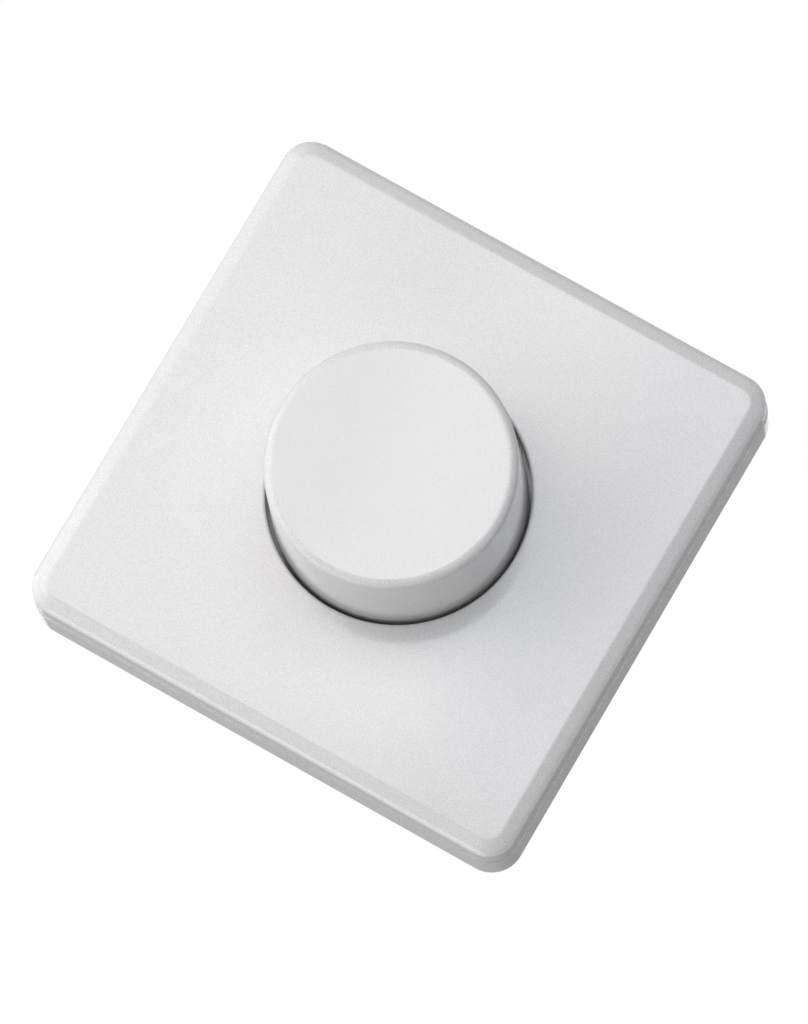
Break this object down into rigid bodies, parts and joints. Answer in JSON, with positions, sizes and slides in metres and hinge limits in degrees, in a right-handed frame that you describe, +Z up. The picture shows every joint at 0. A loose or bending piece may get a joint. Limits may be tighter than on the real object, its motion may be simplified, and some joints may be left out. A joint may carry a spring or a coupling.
{
  "type": "rotary dimmer switch",
  "caption": "Flush-mounted rotary dimmer: square cover plate with rounded edges, round push-and-turn knob, and a wall-box insert with its support frame behind it.",
  "frame": {"origin": "on the knob axis, in the plane of the wall", "axes": "+Z up, +X right, -Y out of the wall towards the room, +Y into the wall box"},
  "size_m": [0.08, 0.059, 0.08],
  "materials": {
    "white_plastic": "satin white moulding",
    "zinc_plated_steel": "zinc-plated",
    "spring_steel": "bright spring steel",
    "brass": "bare brass",
    "nickel_plate": "nickel-plated",
    "cast_zinc": "die-cast",
    "grey_plastic": "dark grey moulding",
    "black_plastic": "black moulding",
    "natural_plastic": "unpigmented moulding",
    "board_laminate": "resin-bonded paper",
    "black_epoxy": "moulded epoxy",
    "silicone_pad": "insulating pad",
    "iron_powder": "coated ring core",
    "enamelled_copper": "enamelled copper wire",
    "yellow_film": "boxed film capacitor",
    "red_film": "boxed film capacitor",
    "resistor_lacquer": "lacquered",
    "blue_glaze": "glazed",
    "fuse_glass": "clear glass"
  },
  "bodies": {
    "insert": {"cover_plate": "white_plastic", "support_frame": "zinc_plated_steel", "lock_washer": "zinc_plated_steel", "bush_nut": "zinc_plated_steel", "housing_screws": "zinc_plated_steel", "triac_screw": "zinc_plated_steel", "triac_nut": "zinc_plated_steel", "terminal_screws": "zinc_plated_steel", "pot_case": "zinc_plated_steel", "return_spring": "spring_steel", "plate_nut": "brass", "switch_contacts": "brass", "terminal_cages": "brass", "fuse_caps": "nickel_plate", "fuse_clips": "nickel_plate", "threaded_bush": "cast_zinc", "insert_housing": "grey_plastic", "terminal_block": "black_plastic", "switch_case": "black_plastic", "switch_base": "black_plastic", "circuit_board": "board_laminate", "track_wafer": "board_laminate", "triac": "black_epoxy", "triac_pad": "silicone_pad", "choke_core": "iron_powder", "choke_winding": "enamelled_copper", "suppression_capacitor": "yellow_film", "timing_capacitor": "red_film", "resistors": "resistor_lacquer", "trigger_diode": "blue_glaze", "fuse_tube": "fuse_glass"},
    "wiper": {"wiper_rotor": "natural_plastic", "wiper_spring": "brass"},
    "knob": {"knob": "white_plastic", "knob_grip_ring": "spring_steel", "spindle": "cast_zinc", "spindle_clip": "zinc_plated_steel"},
    "plunger": {"switch_plunger": "natural_plastic", "contact_bridge": "brass"}
  },
  "joints": [
    {"name": "dimmer_turn", "type": "hinge", "parent": "insert", "child": "wiper", "pos_m": [0, 0, 0], "axis": [0, -1, 0], "range_deg": [-135, 135]},
    {"name": "knob_push", "type": "slide", "parent": "wiper", "child": "knob", "axis": [0, 1, 0], "range_m": [0, 0.0016], "stiffness_N_per_m": 3000, "springref_m": -0.0005},
    {"name": "plunger_push", "type": "slide", "parent": "insert", "child": "plunger", "axis": [0, 1, 0], "range_m": [0, 0.0016], "deforming": ["return_spring"]}
  ],
  "couplings": [
    {"joint": "plunger_push", "follows": "knob_push", "ratio": 1}
  ]
}
